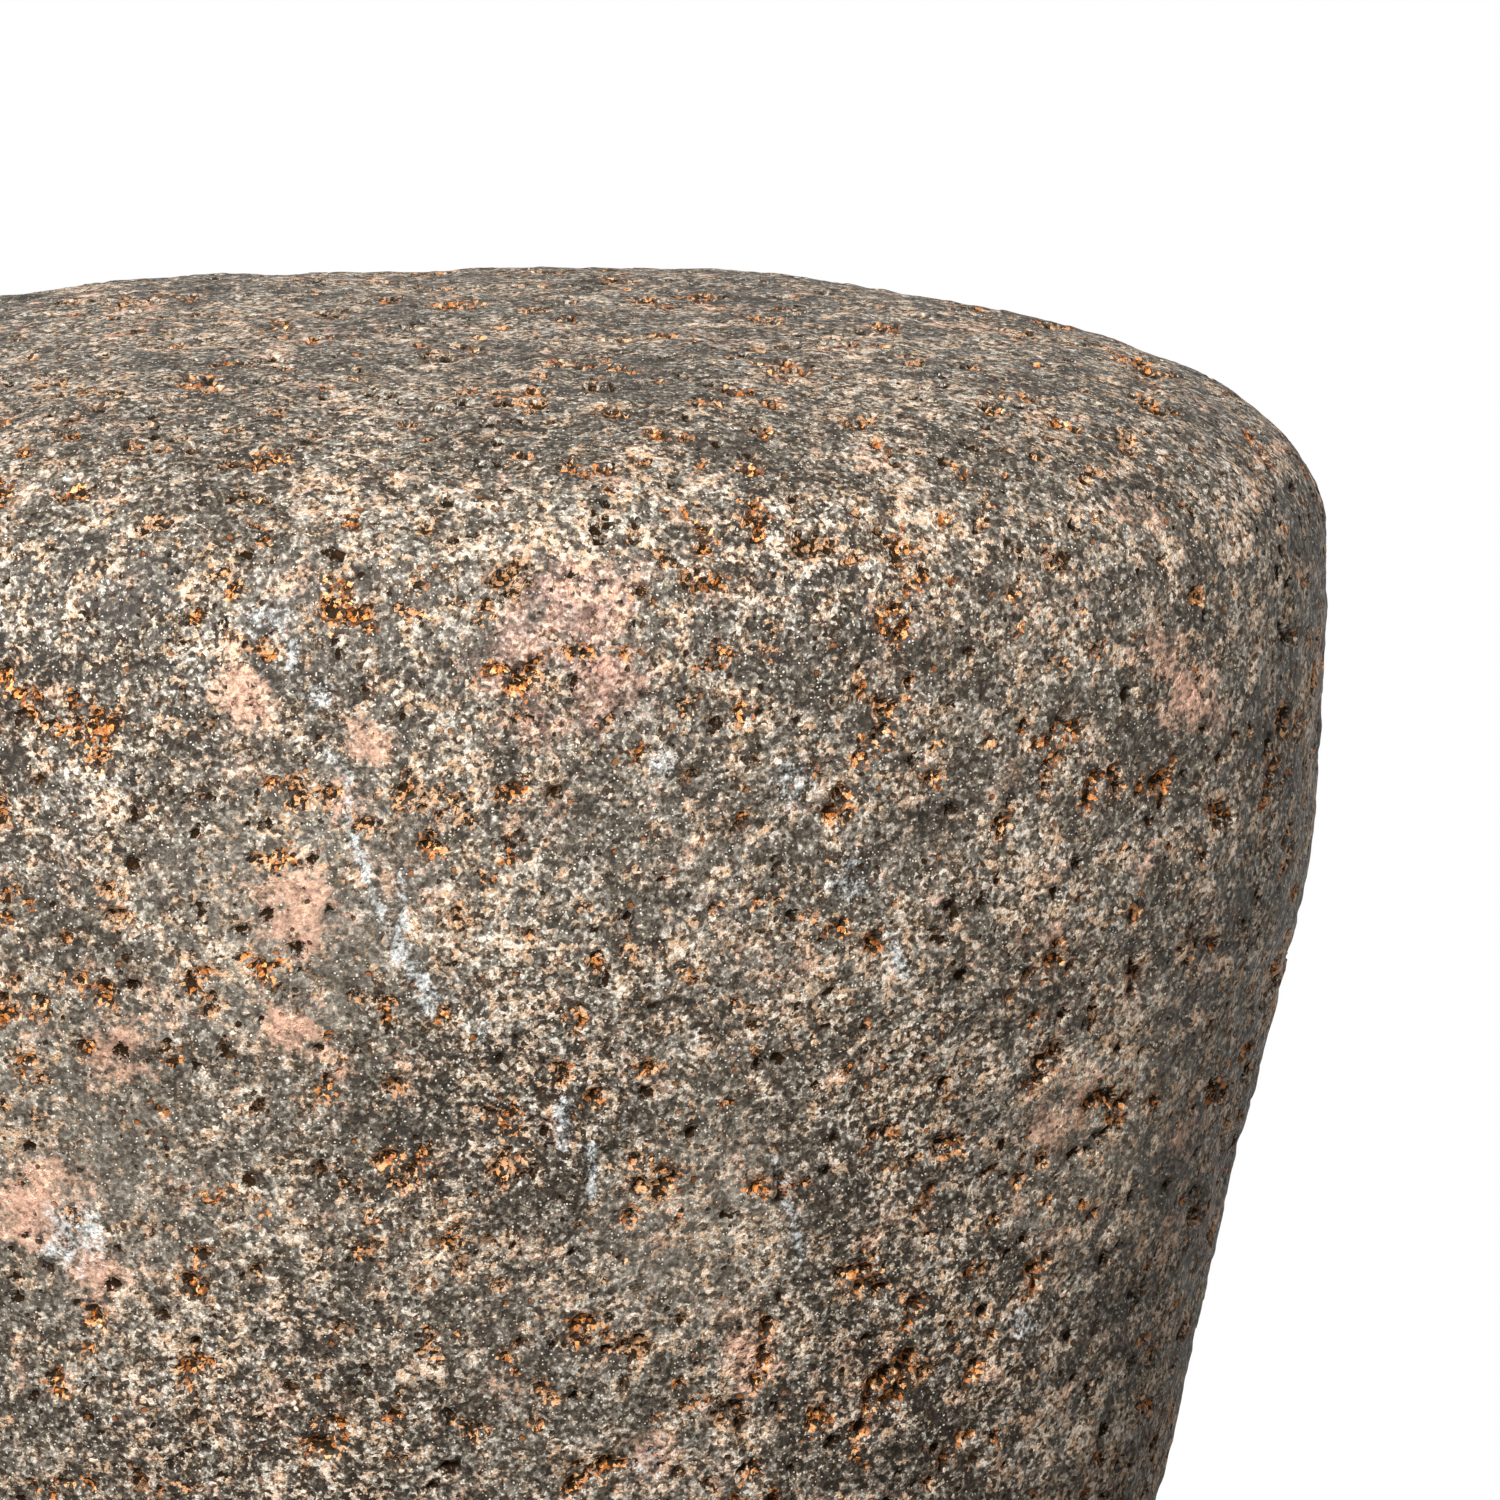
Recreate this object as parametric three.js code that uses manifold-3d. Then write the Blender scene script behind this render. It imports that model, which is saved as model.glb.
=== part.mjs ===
// Molcajete: a three-footed mortar of vesicular basalt with its loose pestle, the tejolote.
// Millimetres, +Z up. The origin is on the ground, under the axis of the bowl. The pestle stands in
// the bowl on its narrow end, square to the floor a little behind the middle, so it leans forward.
import * as THREE from "three";
import { mergeVertices } from "three/addons/utils/BufferGeometryUtils.js";
import Module from "manifold-3d";

// Bowl: a full round belly with half an ellipsoid hollowed out of it, and a rounded lip between them.
const MORTAR_HEIGHT = 118;
const BOWL_OUTER_RADIUS = 98;
const BOWL_INNER_RADIUS = 78;
const LIP_OUTER_ROUND = 7;
const LIP_INNER_ROUND = 5;
const BELLY_HEIGHT = 30; // ground to the lowest point of the bowl's underside
const BELLY_FULLNESS = 2.4; // exponent of the belly's curve: 2 is an ellipse, higher is squarer
const BOWL_FLOOR_THICKNESS = 32;

// Feet: three tapered stubs carved from the same block, spread outward going down.
const FOOT_COUNT = 3;
const FIRST_FOOT_AZIMUTH = 90; // degrees: one foot behind, two in front
const FOOT_SOLE_OFFSET = 60; // from the bowl's axis to the middle of a sole
const FOOT_ROOT_OFFSET = 50; // the same at the foot's root, inside the bowl's stone
const FOOT_SOLE_RADIUS = 17;
const FOOT_ROOT_RADIUS = 28;
const FOOT_SOLE_ROUND = 4;
const FOOT_ROOT_HEIGHT = 63;

// Pestle: a broad domed head, a tapering flank, a waist and a rounded narrow end, oval in section.
const HEAD_RADIUS = 35;
const CROWN_HEIGHT = 10.4; // dome above the head's widest line
const CROWN_FULLNESS = 2.85; // exponent of the dome: 2 is an ellipse, higher is flatter
const SHOULDER_ROUND = 60; // radius of the curve from the widest line into the flank
const FLANK_TAPER = 13.8; // degrees from the axis
const FLANK_LENGTH = 36; // along the axis
const WAIST_ROUND = 110; // radius of the hollow curve between the flank and the grip
const GRIP_TAPER = 2.5; // degrees from the axis
const GRIP_LENGTH = 26; // along the axis
const GRIP_END_HEIGHT = 6; // the narrow end's own dome, flat enough to stand on
const GRIP_END_FULLNESS = 4;
const PESTLE_FLATNESS = 0.7; // depth from front to back as a share of the width

// Rest pose of the pestle: where it stands, and how far its end's middle is above the hollow's floor.
const PESTLE_STAND_Y = 19;
const PESTLE_STAND_GAP = 0.84; // leaves about 0.3 mm at the ring where the end meets the floor

// Mesh fineness.
const BOWL_SEGMENTS = 64;
const BOWL_ARC_STEPS = 14;
const FOOT_SEGMENTS = 24;
const PESTLE_SEGMENTS = 48;
const CROWN_STEPS = 9;
const ROUND_STEPS = 4;

const STONE_COLOUR = 0x6f675c;
const PESTLE_COLOUR = 0x776e62;

const radians = THREE.MathUtils.degToRad;
const wasm = await Module();
wasm.setup();

// Points of a quarter superellipse from (halfWidth, 0) to (0, height), both ends included.
function quarterDome(halfWidth, height, fullness, steps) {
  const points = [];
  for (let i = 0; i <= steps; i += 1) {
    const angle = (Math.PI / 2) * (i / steps);
    const across = i === steps ? 0 : Math.cos(angle) ** (2 / fullness);
    points.push(new THREE.Vector2(halfWidth * across, height * Math.sin(angle) ** (2 / fullness)));
  }
  return points;
}

// Points of an elliptical arc about (x, y), from one angle to another, both ends included.
function arc(x, y, radiusX, radiusY, from, to, steps) {
  const points = [];
  for (let i = 0; i <= steps; i += 1) {
    const angle = radians(from + ((to - from) * i) / steps);
    points.push(new THREE.Vector2(x + radiusX * Math.cos(angle), y + radiusY * Math.sin(angle)));
  }
  return points;
}

// A closed solid turned about Z. The profile runs up the outside, from the axis back to the axis.
function turned(profile, segments) {
  profile[0].x = 0;
  profile[profile.length - 1].x = 0;
  const geometry = new THREE.LatheGeometry(profile, segments);
  geometry.rotateX(Math.PI / 2);
  geometry.deleteAttribute("normal");
  geometry.deleteAttribute("uv");
  return mergeVertices(geometry);
}

function toManifold(geometry) {
  return new wasm.Manifold(
    new wasm.Mesh({
      numProp: 3,
      vertProperties: new Float32Array(geometry.attributes.position.array),
      triVerts: new Uint32Array(geometry.index.array),
    }),
  );
}

function toGeometry(solid) {
  const mesh = solid.getMesh();
  const geometry = new THREE.BufferGeometry();
  geometry.setAttribute("position", new THREE.BufferAttribute(mesh.vertProperties, 3));
  geometry.setIndex(new THREE.BufferAttribute(mesh.triVerts, 1));
  geometry.computeVertexNormals();
  return geometry;
}

// The hollow is the lower half of an ellipsoid: the level of its middle, and its depth below that.
const HOLLOW_LEVEL = MORTAR_HEIGHT - LIP_INNER_ROUND;
const HOLLOW_DEPTH = HOLLOW_LEVEL - BELLY_HEIGHT - BOWL_FLOOR_THICKNESS;

function bowlGeometry() {
  const outerCentre = MORTAR_HEIGHT - LIP_OUTER_ROUND;
  const outerRound = BOWL_OUTER_RADIUS - LIP_OUTER_ROUND;
  const innerRound = BOWL_INNER_RADIUS + LIP_INNER_ROUND;
  const bellyDepth = outerCentre - BELLY_HEIGHT;
  const belly = quarterDome(BOWL_OUTER_RADIUS, bellyDepth, BELLY_FULLNESS, BOWL_ARC_STEPS)
    .map((point) => new THREE.Vector2(point.x, outerCentre - point.y))
    .reverse();
  const profile = [
    ...belly,
    ...arc(outerRound, outerCentre, LIP_OUTER_ROUND, LIP_OUTER_ROUND, 0, 90, ROUND_STEPS).slice(1),
    ...arc(innerRound, HOLLOW_LEVEL, LIP_INNER_ROUND, LIP_INNER_ROUND, 90, 180, ROUND_STEPS),
    ...arc(0, HOLLOW_LEVEL, BOWL_INNER_RADIUS, HOLLOW_DEPTH, 0, -90, BOWL_ARC_STEPS).slice(1),
  ];
  return turned(profile, BOWL_SEGMENTS);
}

// One foot under the bowl's stone. A shear spreads it outward and keeps its sole flat on the ground.
function footGeometry(azimuth) {
  const soleEdge = FOOT_SOLE_RADIUS - FOOT_SOLE_ROUND;
  const profile = [
    new THREE.Vector2(0, 0),
    ...arc(soleEdge, FOOT_SOLE_ROUND, FOOT_SOLE_ROUND, FOOT_SOLE_ROUND, -90, 0, ROUND_STEPS),
    new THREE.Vector2(FOOT_ROOT_RADIUS, FOOT_ROOT_HEIGHT),
    new THREE.Vector2(0, FOOT_ROOT_HEIGHT),
  ];
  const geometry = turned(profile, FOOT_SEGMENTS);
  const spread = (FOOT_ROOT_OFFSET - FOOT_SOLE_OFFSET) / FOOT_ROOT_HEIGHT;
  const placed = new THREE.Matrix4()
    .makeRotationZ(radians(azimuth))
    .multiply(new THREE.Matrix4().makeTranslation(FOOT_SOLE_OFFSET, 0, 0))
    .multiply(new THREE.Matrix4().set(1, 0, spread, 0, 0, 1, 0, 0, 0, 0, 1, 0, 0, 0, 0, 1));
  geometry.applyMatrix4(placed);
  return geometry;
}

// The mortar is one block of stone, so the bowl and its feet are joined into one solid.
function mortar() {
  let block = toManifold(bowlGeometry());
  for (let i = 0; i < FOOT_COUNT; i += 1) {
    block = block.add(toManifold(footGeometry(FIRST_FOOT_AZIMUTH + (360 / FOOT_COUNT) * i)));
  }
  const stone = new THREE.MeshStandardMaterial({
    color: STONE_COLOUR,
    roughness: 0.92,
    metalness: 0,
  });
  const mesh = new THREE.Mesh(toGeometry(block), stone);
  mesh.name = "mortar";
  return mesh;
}

// The pestle's outline in its own frame, from the narrow end on the axis at height 0 to the crown.
function pestleProfile() {
  const shoulderDrop = SHOULDER_ROUND * Math.sin(radians(FLANK_TAPER));
  const waistDrop = WAIST_ROUND * (Math.sin(radians(FLANK_TAPER)) - Math.sin(radians(GRIP_TAPER)));
  const gripFoot = GRIP_END_HEIGHT;
  const gripHead = gripFoot + GRIP_LENGTH;
  const flankFoot = gripHead + waistDrop;
  const flankHead = flankFoot + FLANK_LENGTH;
  const widest = flankHead + shoulderDrop;
  const shoulder = arc(
    HEAD_RADIUS - SHOULDER_ROUND,
    widest,
    SHOULDER_ROUND,
    SHOULDER_ROUND,
    -FLANK_TAPER,
    0,
    ROUND_STEPS,
  );
  const flankFootRadius = shoulder[0].x - FLANK_LENGTH * Math.tan(radians(FLANK_TAPER));
  const waistCentre = flankFootRadius + WAIST_ROUND * Math.cos(radians(FLANK_TAPER));
  const waistLevel = flankFoot - WAIST_ROUND * Math.sin(radians(FLANK_TAPER));
  const waist = arc(
    waistCentre,
    waistLevel,
    WAIST_ROUND,
    WAIST_ROUND,
    180 - GRIP_TAPER,
    180 - FLANK_TAPER,
    ROUND_STEPS,
  );
  const gripFootRadius = waist[0].x - GRIP_LENGTH * Math.tan(radians(GRIP_TAPER));
  const end = quarterDome(gripFootRadius, GRIP_END_HEIGHT, GRIP_END_FULLNESS, CROWN_STEPS)
    .map((point) => new THREE.Vector2(point.x, gripFoot - point.y))
    .reverse();
  const crown = quarterDome(HEAD_RADIUS, CROWN_HEIGHT, CROWN_FULLNESS, CROWN_STEPS)
    .map((point) => new THREE.Vector2(point.x, widest + point.y))
    .slice(1);
  return [...end, ...waist, ...shoulder, ...crown];
}

// The pestle stands square to the hollow's floor, so its lean is the floor's slope there.
function standPestle(mesh) {
  const across = PESTLE_STAND_Y / BOWL_INNER_RADIUS;
  const below = Math.sqrt(1 - across ** 2);
  const slope = (HOLLOW_DEPTH * across) / (BOWL_INNER_RADIUS * below);
  const lean = Math.atan(slope);
  const floor = HOLLOW_LEVEL - HOLLOW_DEPTH * below;
  mesh.rotation.x = lean;
  mesh.position.set(
    0,
    PESTLE_STAND_Y - PESTLE_STAND_GAP * Math.sin(lean),
    floor + PESTLE_STAND_GAP * Math.cos(lean),
  );
}

function pestle() {
  const stone = new THREE.MeshStandardMaterial({
    color: PESTLE_COLOUR,
    roughness: 0.88,
    metalness: 0,
  });
  const geometry = turned(pestleProfile(), PESTLE_SEGMENTS);
  geometry.scale(1, PESTLE_FLATNESS, 1);
  const mesh = new THREE.Mesh(geometry, stone);
  mesh.name = "tejolote";
  standPestle(mesh);
  return mesh;
}

const molcajete = new THREE.Group();
molcajete.add(mortar(), pestle());

export default molcajete;
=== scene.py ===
"""Looks for a molcajete: a three-footed basalt mortar with its loose pestle standing in the bowl.

Shapes are worked out in millimetres from the same named dimensions as the CAD part, roughened with
seeded noise and pits, and then scaled to metres.
"""

import math

import bpy
import numpy as np
from mathutils import Matrix, Quaternion, Vector
from mathutils.kdtree import KDTree


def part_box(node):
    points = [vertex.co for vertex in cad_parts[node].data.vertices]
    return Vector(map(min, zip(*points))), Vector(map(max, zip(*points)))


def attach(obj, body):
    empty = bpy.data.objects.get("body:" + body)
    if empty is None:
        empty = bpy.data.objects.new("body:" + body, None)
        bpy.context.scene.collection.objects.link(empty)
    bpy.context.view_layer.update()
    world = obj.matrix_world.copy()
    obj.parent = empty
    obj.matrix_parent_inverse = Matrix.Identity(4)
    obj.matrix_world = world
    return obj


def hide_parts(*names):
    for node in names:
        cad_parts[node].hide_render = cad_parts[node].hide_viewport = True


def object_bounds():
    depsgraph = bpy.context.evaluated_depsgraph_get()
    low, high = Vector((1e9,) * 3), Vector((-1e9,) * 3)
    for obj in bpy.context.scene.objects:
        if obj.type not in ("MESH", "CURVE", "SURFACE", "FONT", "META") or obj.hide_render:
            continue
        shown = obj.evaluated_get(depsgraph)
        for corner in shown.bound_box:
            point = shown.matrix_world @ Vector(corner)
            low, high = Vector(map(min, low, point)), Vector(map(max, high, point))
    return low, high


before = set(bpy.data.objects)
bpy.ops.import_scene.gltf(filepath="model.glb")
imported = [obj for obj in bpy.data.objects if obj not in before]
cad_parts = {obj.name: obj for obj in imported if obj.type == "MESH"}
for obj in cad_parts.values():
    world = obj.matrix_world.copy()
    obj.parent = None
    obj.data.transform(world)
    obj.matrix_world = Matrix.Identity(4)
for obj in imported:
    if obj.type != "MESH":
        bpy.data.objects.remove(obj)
CAD_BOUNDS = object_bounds()

MM = 0.001
SEED = 4817

# Mortar.
MORTAR_HEIGHT = 118.0
BOWL_OUTER_RADIUS = 98.0
BOWL_INNER_RADIUS = 78.0
LIP_OUTER_ROUND = 7.0
LIP_INNER_ROUND = 5.0
BELLY_HEIGHT = 30.0
BELLY_FULLNESS = 2.4
BOWL_FLOOR_THICKNESS = 32.0
FOOT_AZIMUTHS = (90.0, 210.0, 330.0)
FOOT_SOLE_OFFSET = 60.0
FOOT_ROOT_OFFSET = 50.0
FOOT_SOLE_RADIUS = 17.0
FOOT_ROOT_RADIUS = 28.0
FOOT_SOLE_ROUND = 4.0
FOOT_ROOT_HEIGHT = 63.0

# Pestle.
HEAD_RADIUS = 35.0
CROWN_HEIGHT = 10.4
CROWN_FULLNESS = 2.85
SHOULDER_ROUND = 60.0
FLANK_TAPER = math.radians(13.8)
FLANK_LENGTH = 36.0
WAIST_ROUND = 110.0
GRIP_TAPER = math.radians(2.5)
GRIP_LENGTH = 26.0
GRIP_END_HEIGHT = 6.0
GRIP_END_FULLNESS = 4.0
PESTLE_FLATNESS = 0.7
WAIST_DROP = WAIST_ROUND * (math.sin(FLANK_TAPER) - math.sin(GRIP_TAPER))
FLANK_FOOT = GRIP_END_HEIGHT + GRIP_LENGTH + WAIST_DROP
WIDEST = FLANK_FOOT + FLANK_LENGTH + SHOULDER_ROUND * math.sin(FLANK_TAPER)

# Surface skins, in millimetres.
FINE_STEP = 0.2
COARSE_STEP = 0.46
FINE_FROM_HEIGHT = 60.0
FINE_BLEND_HEIGHT = 10.0
FINE_HALF_AZIMUTH = math.radians(105)
FINE_BLEND_AZIMUTH = 0.35
SKIN_MARGIN = 0.34  # how far the pestle's skin is kept under its outline, where it is held
END_HELD_BELOW = (12.0, 22.0)
HEAD_HELD_FROM = (WIDEST - 12, WIDEST - 4)
MORTAR_VOXEL = 0.9
MORTAR_MARGIN = 0.75
SOLE_MARGIN = 0.45
SOLE_HEIGHT = 2.0

# Relief left by carving and wear: the height and the size of its features, in millimetres.
PESTLE_WAVES = (0.2, 14)
PESTLE_GRAIN = (0.09, 2.6)
PESTLE_CRUMBLE = (0.035, 0.75)
SCRATCH_DEPTH = 0.06
MORTAR_WAVES = (0.34, 34)
MORTAR_GRAIN = (0.3, 7.5)
WORN_SMOOTHING = 0.55

# Corners where the feet meet the belly, in millimetres.
ROOT_BLEND = 9.0
ROOT_BLEND_FROM = (6.0, 14.0)
ROOT_BLEND_CEILING = 85.0
UNDERSIDE_SHARE = 0.6  # how much of the bowl's radius its flat underside covers
ROOT_ROUNDS = 45
BLOCK_ROUNDS = 3

# Pits. Sizes are in millimetres, and the rim's reaches and the painted shade's reach are in hollow radii.
RIM_REACH = 2.1  # how far the stained rim of a hollow spreads
RIM_FULL = 0.7
# how fast the painted shade in a hollow deepens towards its middle
HOLLOW_SHADE_GAIN = 1.6
HOLLOWS_IN_GROUP = (4, 10)
HOLLOW_SHARE = (0.22, 0.5)
GROUP_DEPTH = (0.7, 1.3)
LONE_DEPTH = (0.5, 1.0)
WORN_SHRINK = 0.35
# Counts are per square millimetre. A size is a least value, a spread and a power that favours small
# ones, rust is a most and a power, and "ragged" is how far noise pushes the pits' outlines about.
PESTLE_PITS = {
    "ragged": 0.2,
    "groups": 0.13,
    "group_size": (0.25, 0.6, 1.7),
    "group_rust": (1.0, 0.8),
    "lone": 0.16,
    "lone_radius": (0.18, 0.38),
    "lone_rust": (1.0, 3),
}
MORTAR_PITS = {
    "ragged": 0.6,
    "groups": 0.015,
    "group_size": (0.8, 2.0, 1.6),
    "group_rust": (0.6, 4),
    "lone": 0.03,
    "lone_radius": (0.7, 1.3),
    "lone_rust": (0.7, 4),
}


# ---------------------------------------------------------------- noise


def lattice_value(x, y, z, seed):
    """A fixed pseudo-random number from 0 to 1 for each whole-number lattice point."""
    mask = 0xFFFFFFFF
    h = (x * 374761393 + y * 668265263 + z * 2147483647 + seed * 1274126177) & mask
    h = ((h ^ (h >> 13)) * 1274126177) & mask
    return (h ^ (h >> 16)) / mask


def noise(points, size, seed):
    """Smooth noise from -1 to 1, with features about `size` millimetres across."""
    scaled = points / size + 37.3 * (seed % 11)
    cell = np.floor(scaled).astype(np.int64)
    part = scaled - cell
    part = part * part * part * (part * (part * 6 - 15) + 10)
    total = np.zeros(len(points))
    for corner in np.ndindex(2, 2, 2):
        weight = np.ones(len(points))
        for axis in range(3):
            weight *= part[:, axis] if corner[axis] else 1 - part[:, axis]
        total += weight * lattice_value(*(cell[:, axis] + corner[axis] for axis in range(3)), seed)
    return total * 2 - 1


def rough(points, size, seed, octaves=3, gain=0.5):
    """Several octaves of noise, from `size` millimetres down."""
    total = np.zeros(len(points))
    for octave in range(octaves):
        total += noise(points, size / 2**octave, seed + octave * 7) * gain**octave
    return total


def warped(points, reach, size, seeds):
    """The points pushed about by up to `reach`, by noise with features of `size`."""
    return points + reach * np.stack([noise(points, size, seed) for seed in seeds], 1)


def smoothstep(low, high, value):
    """0 below `low`, 1 above `high`, and smooth between."""
    t = np.clip((value - low) / (high - low), 0, 1)
    return t * t * (3 - 2 * t)


# ---------------------------------------------------------------- outlines


def quarter_dome(half_width, height, fullness, steps):
    """Points of a quarter superellipse from (half_width, 0) to (0, height)."""
    angle = np.linspace(0, math.pi / 2, steps)
    across = half_width * np.clip(np.cos(angle), 0, 1) ** (2 / fullness)
    return np.stack([across, height * np.sin(angle) ** (2 / fullness)], 1)


def arc(x, y, radius_x, radius_y, start, end, steps):
    """Points of an elliptical arc about (x, y)."""
    angle = np.linspace(start, end, steps)
    return np.stack([x + radius_x * np.cos(angle), y + radius_y * np.sin(angle)], 1)


def pestle_outline():
    """Half of the pestle's front outline, (radius, height), from the narrow end's pole to the crown's."""
    shoulder = arc(
        HEAD_RADIUS - SHOULDER_ROUND, WIDEST, SHOULDER_ROUND, SHOULDER_ROUND, -FLANK_TAPER, 0, 60
    )
    flank_foot_radius = shoulder[0, 0] - FLANK_LENGTH * math.tan(FLANK_TAPER)
    waist = arc(
        flank_foot_radius + WAIST_ROUND * math.cos(FLANK_TAPER),
        FLANK_FOOT - WAIST_ROUND * math.sin(FLANK_TAPER),
        WAIST_ROUND,
        WAIST_ROUND,
        math.pi - GRIP_TAPER,
        math.pi - FLANK_TAPER,
        60,
    )
    grip_foot_radius = waist[0, 0] - GRIP_LENGTH * math.tan(GRIP_TAPER)
    end = quarter_dome(grip_foot_radius, GRIP_END_HEIGHT, GRIP_END_FULLNESS, 200)[::-1]
    end[:, 1] = GRIP_END_HEIGHT - end[:, 1]
    crown = quarter_dome(HEAD_RADIUS, CROWN_HEIGHT, CROWN_FULLNESS, 400)
    crown[:, 1] += WIDEST
    return np.concatenate([end, waist, shoulder, crown[1:]])


def belly_radius(height):
    """Outer radius of the bowl's belly at a height."""
    centre = MORTAR_HEIGHT - LIP_OUTER_ROUND
    drop = np.clip((centre - height) / (centre - BELLY_HEIGHT), 0, 1)
    return BOWL_OUTER_RADIUS * np.clip(1 - drop**BELLY_FULLNESS, 0, 1) ** (1 / BELLY_FULLNESS)


def bowl_outline():
    """The bowl's outline, from under the middle, round the lip, to the hollow's lowest point."""
    centre = MORTAR_HEIGHT - LIP_OUTER_ROUND
    level = MORTAR_HEIGHT - LIP_INNER_ROUND
    depth = level - BELLY_HEIGHT - BOWL_FLOOR_THICKNESS
    belly = quarter_dome(BOWL_OUTER_RADIUS, centre - BELLY_HEIGHT, BELLY_FULLNESS, 120)[::-1]
    belly[:, 1] = centre - belly[:, 1]
    outer = BOWL_OUTER_RADIUS - LIP_OUTER_ROUND
    inner = BOWL_INNER_RADIUS + LIP_INNER_ROUND
    return np.concatenate(
        [
            belly,
            arc(outer, centre, LIP_OUTER_ROUND, LIP_OUTER_ROUND, 0, math.pi / 2, 16)[1:],
            arc(inner, level, LIP_INNER_ROUND, LIP_INNER_ROUND, math.pi / 2, math.pi, 14),
            arc(0, level, BOWL_INNER_RADIUS, depth, 0, -math.pi / 2, 100)[1:],
        ]
    )


def foot_outline():
    """One foot's outline, from the middle of its sole up to its root inside the bowl's stone."""
    edge = FOOT_SOLE_RADIUS - FOOT_SOLE_ROUND
    corner = arc(edge, FOOT_SOLE_ROUND, FOOT_SOLE_ROUND, FOOT_SOLE_ROUND, -math.pi / 2, 0, 12)
    root = [[FOOT_ROOT_RADIUS, FOOT_ROOT_HEIGHT], [0, FOOT_ROOT_HEIGHT]]
    return np.concatenate([[[0, 0]], corner, root])


# ---------------------------------------------------------------- meshes


def spread_steps(length_at, step_at, start, end):
    """Stations from start to end whose spacing follows step_at."""
    fine = np.linspace(start, end, 6000)
    density = length_at(fine) / step_at(fine)
    total = np.concatenate([[0], np.cumsum((density[1:] + density[:-1]) / 2 * np.diff(fine))])
    count = int(round(total[-1]))
    return np.interp(np.linspace(0, total[-1], count + 1), total, fine)


def turned_grid(outline, azimuths):
    """Vertices and faces of a closed solid turned about Z; azimuth 0 faces -Y."""
    outline = np.array(outline, float)
    ring = outline[1:-1]
    columns = len(azimuths)
    x = ring[:, :1] * np.sin(azimuths)
    y = -ring[:, :1] * np.cos(azimuths)
    z = np.repeat(ring[:, 1:], columns, 1)
    points = np.stack([x, y, z], 2).reshape(-1, 3)
    poles = [[0, 0, outline[0, 1]], [0, 0, outline[-1, 1]]]
    points = np.concatenate([points, poles])
    here = np.arange(columns)
    there = (here + 1) % columns
    faces = []
    for row in range(len(ring) - 1):
        low, high = row * columns, (row + 1) * columns
        faces.append(np.stack([low + here, low + there, high + there, high + here], 1))
    faces = np.concatenate(faces).tolist()
    first, last = len(points) - 2, len(points) - 1
    top = (len(ring) - 1) * columns
    faces += [[first, int(b), int(a)] for a, b in zip(here, there)]
    faces += [[top + int(a), top + int(b), last] for a, b in zip(here, there)]
    return points, faces


def new_mesh(name, points, faces):
    mesh = bpy.data.meshes.new(name)
    mesh.from_pydata(points.tolist(), [], faces)
    mesh.update()
    return mesh


def link(name, mesh):
    obj = bpy.data.objects.new(name, mesh)
    bpy.context.scene.collection.objects.link(obj)
    return obj


def mesh_points(mesh):
    flat = np.zeros(len(mesh.vertices) * 3)
    mesh.vertices.foreach_get("co", flat)
    return flat.reshape(-1, 3)


def set_points(mesh, points):
    mesh.vertices.foreach_set("co", np.ascontiguousarray(points).ravel())
    mesh.update()


def mesh_normals(mesh):
    flat = np.zeros(len(mesh.vertices) * 3, np.float32)
    mesh.vertex_normals.foreach_get("vector", flat)
    return flat.reshape(-1, 3).astype(float)


def vertex_areas(mesh):
    """The share of the surface, in square millimetres, that belongs to each vertex."""
    area = np.zeros(len(mesh.polygons))
    mesh.polygons.foreach_get("area", area)
    size = np.zeros(len(mesh.polygons), np.int32)
    mesh.polygons.foreach_get("loop_total", size)
    corners = np.zeros(len(mesh.loops), np.int32)
    mesh.loops.foreach_get("vertex_index", corners)
    return np.bincount(corners, np.repeat(area / size, size), len(mesh.vertices))


def add_value(mesh, name, values):
    layer = mesh.attributes.new(name, "FLOAT", "POINT")
    layer.data.foreach_set("value", np.asarray(values, np.float32))


# ---------------------------------------------------------------- pits


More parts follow.
